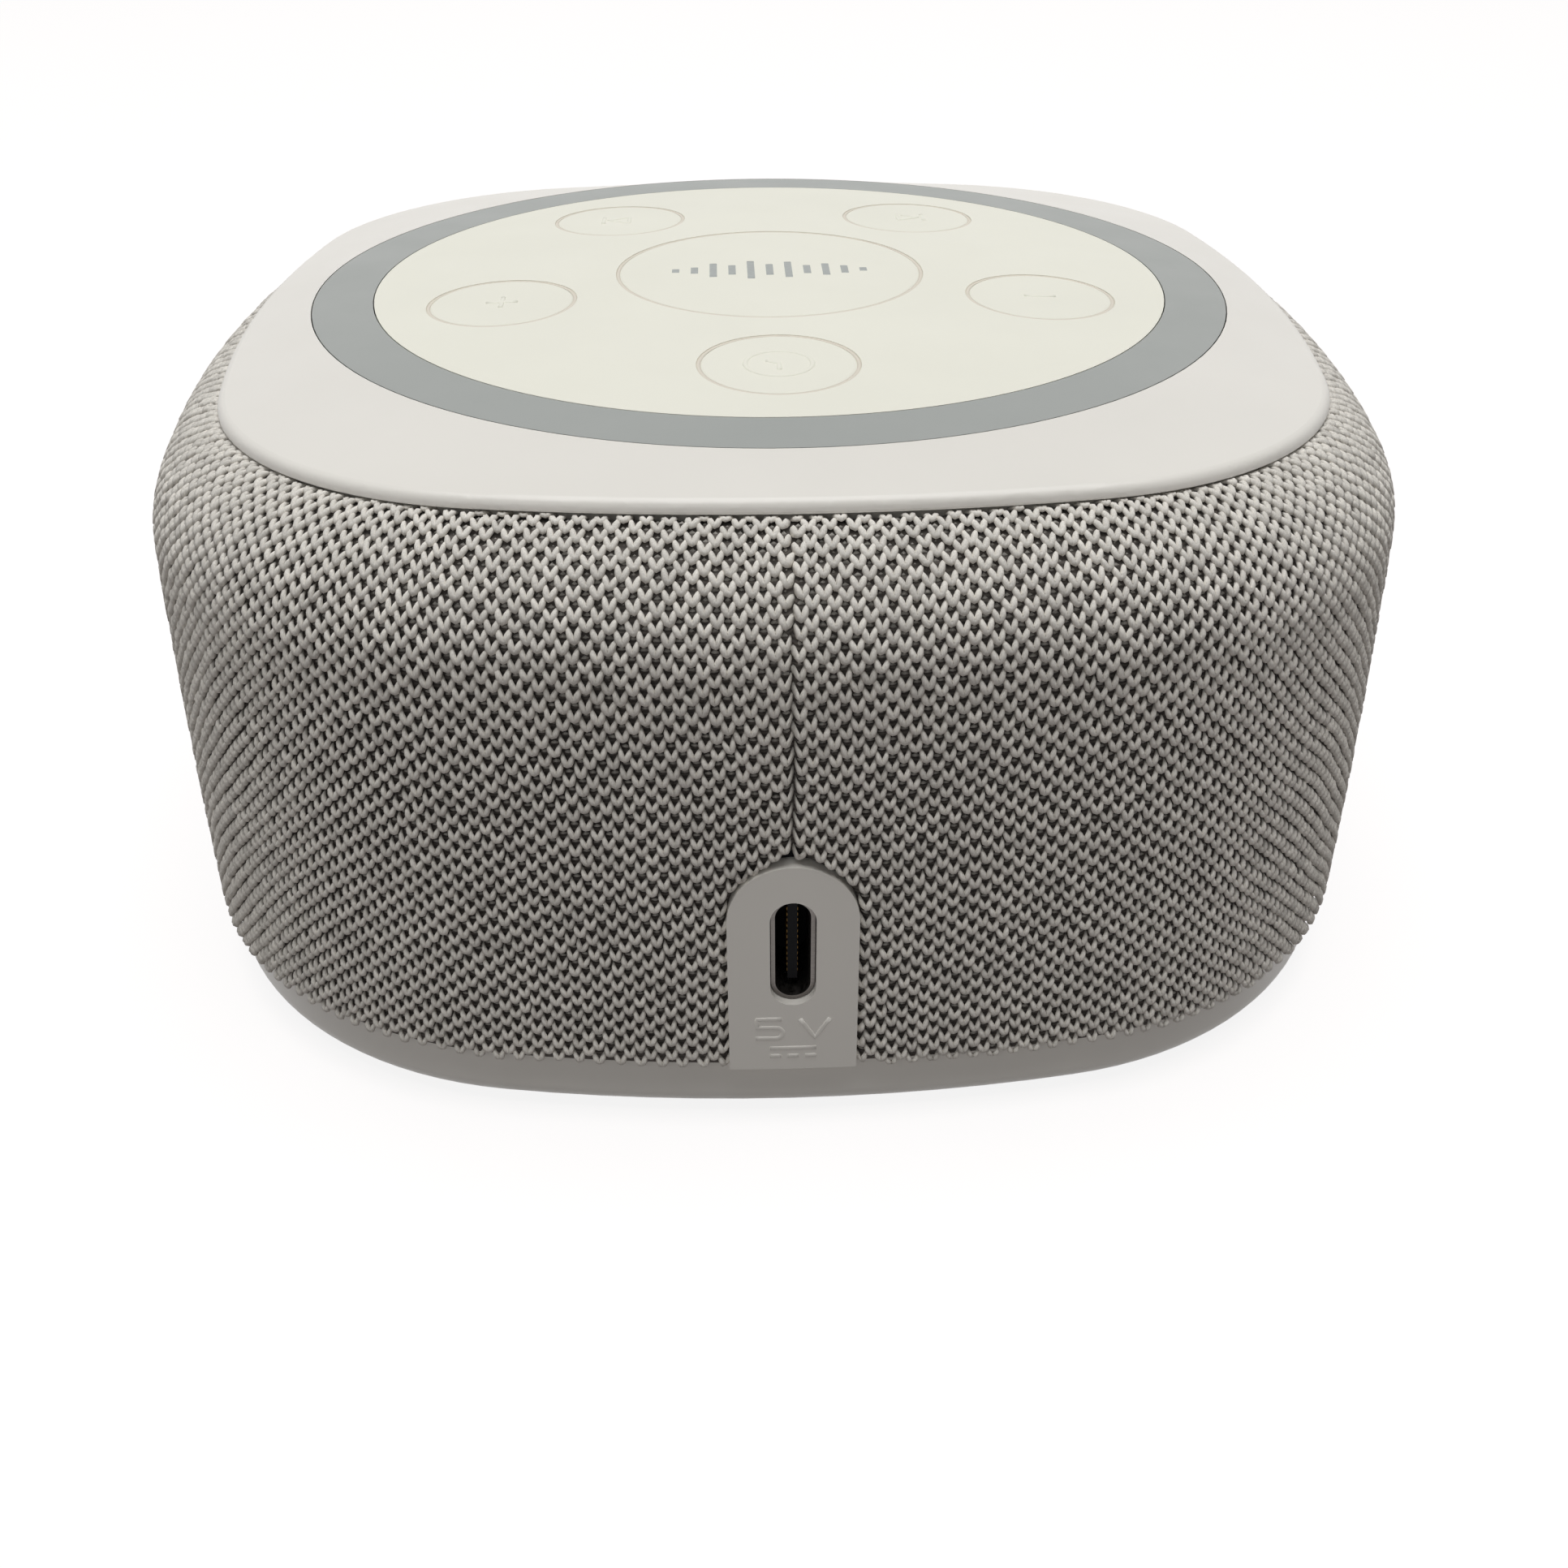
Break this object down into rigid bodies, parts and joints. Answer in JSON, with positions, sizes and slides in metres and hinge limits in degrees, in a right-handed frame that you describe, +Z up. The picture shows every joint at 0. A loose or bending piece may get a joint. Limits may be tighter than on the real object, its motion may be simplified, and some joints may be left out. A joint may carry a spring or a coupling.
{
  "type": "white noise sound machine",
  "caption": "Low rounded-square tabletop sound machine: knitted fabric wrap, domed white top with a grey light ring and round push buttons, upright USB-C socket at the rear.",
  "frame": {"origin": "centre of the plan, on the surface that the rubber feet stand on", "axes": "+Z up, -Y to the front, +Y to the rear wall with the socket, +X to the right seen from the front"},
  "size_m": [0.1012, 0.1011, 0.0506],
  "materials": {
    "knit": "knitted polyester yarn",
    "white_plastic": "fine moulded texture",
    "panel_plastic": "soft satin",
    "key_plastic": "soft satin",
    "ring_plastic": "translucent diffuser",
    "bright_plastic": "plain",
    "black_plastic": "plain",
    "foot_rubber": "matte",
    "screw_steel": "zinc plated",
    "socket_steel": "drawn sheet",
    "contact_brass": "gold flash",
    "board_green": "solder mask",
    "chip_black": "moulded epoxy",
    "can_aluminium": "drawn can",
    "ribbon_white": "film",
    "wire_red": "insulation",
    "led_white": "clear resin",
    "foam_black": "foam",
    "basket_steel": "black lacquer",
    "plate_steel": "zinc plated",
    "magnet_ferrite": "ground ferrite",
    "coil_copper": "enamelled wire",
    "cone_paper": "pulp cone",
    "surround_rubber": "soft rubber",
    "spider_cloth": "resin-set cloth",
    "plunger_plastic": "plain"
  },
  "bodies": {
    "case": {"base_shell": "white_plastic", "board_capacitors": "can_aluminium", "board_chips": "chip_black", "board_header": "black_plastic", "cap_screws": "screw_steel", "case_screws": "screw_steel", "control_board": "board_green", "control_board_screws": "screw_steel", "control_panel": "panel_plastic", "inner_housing": "black_plastic", "knit_sleeve": "knit", "light_baffle": "bright_plastic", "light_ring": "ring_plastic", "main_board": "board_green", "main_board_screws": "screw_steel", "main_ribbon_socket": "black_plastic", "port_board": "board_green", "port_plate": "white_plastic", "ribbon_cable": "ribbon_white", "ring_leds": "led_white", "rubber_feet": "foot_rubber", "speaker_basket": "basket_steel", "speaker_gasket": "foam_black", "speaker_magnet": "magnet_ferrite", "speaker_screws": "screw_steel", "speaker_socket": "bright_plastic", "speaker_spider": "spider_cloth", "speaker_surround": "surround_rubber", "speaker_terminal": "black_plastic", "speaker_top_plate": "plate_steel", "speaker_wires": "wire_red", "speaker_yoke": "plate_steel", "switch_housings": "black_plastic", "top_cap": "white_plastic", "top_ribbon_socket": "black_plastic", "usb_contacts": "contact_brass", "usb_shell": "socket_steel", "usb_tongue": "black_plastic"},
    "power_key": {"power_button": "key_plastic", "power_plunger": "plunger_plastic"},
    "timer_key": {"timer_button": "key_plastic", "timer_plunger": "plunger_plastic"},
    "volume_down_key": {"volume_down_button": "key_plastic", "volume_down_plunger": "plunger_plastic"},
    "previous_sound_key": {"previous_sound_button": "key_plastic", "previous_sound_plunger": "plunger_plastic"},
    "next_sound_key": {"next_sound_button": "key_plastic", "next_sound_plunger": "plunger_plastic"},
    "volume_up_key": {"volume_up_button": "key_plastic", "volume_up_plunger": "plunger_plastic"},
    "cone_assembly": {"speaker_cone": "cone_paper", "dust_cap": "cone_paper", "voice_coil": "coil_copper"}
  },
  "joints": [
    {"name": "power_press", "type": "slide", "parent": "case", "child": "power_key", "axis": [0, 0, -1], "range_m": [0, 0.0005], "stiffness_N_per_m": 2500, "springref_m": -0.0002},
    {"name": "timer_press", "type": "slide", "parent": "case", "child": "timer_key", "axis": [0, 0, -1], "range_m": [0, 0.0005], "stiffness_N_per_m": 2500, "springref_m": -0.0002},
    {"name": "volume_down_press", "type": "slide", "parent": "case", "child": "volume_down_key", "axis": [0, 0, -1], "range_m": [0, 0.0005], "stiffness_N_per_m": 2500, "springref_m": -0.0002},
    {"name": "previous_sound_press", "type": "slide", "parent": "case", "child": "previous_sound_key", "axis": [0, 0, -1], "range_m": [0, 0.0005], "stiffness_N_per_m": 2500, "springref_m": -0.0002},
    {"name": "next_sound_press", "type": "slide", "parent": "case", "child": "next_sound_key", "axis": [0, 0, -1], "range_m": [0, 0.0005], "stiffness_N_per_m": 2500, "springref_m": -0.0002},
    {"name": "volume_up_press", "type": "slide", "parent": "case", "child": "volume_up_key", "axis": [0, 0, -1], "range_m": [0, 0.0005], "stiffness_N_per_m": 2500, "springref_m": -0.0002},
    {"name": "cone_travel", "type": "slide", "parent": "case", "child": "cone_assembly", "axis": [0, 0, 1], "range_m": [-0.0008, 0.0008], "stiffness_N_per_m": 1500, "deforming": ["speaker_surround", "speaker_spider"]}
  ]
}
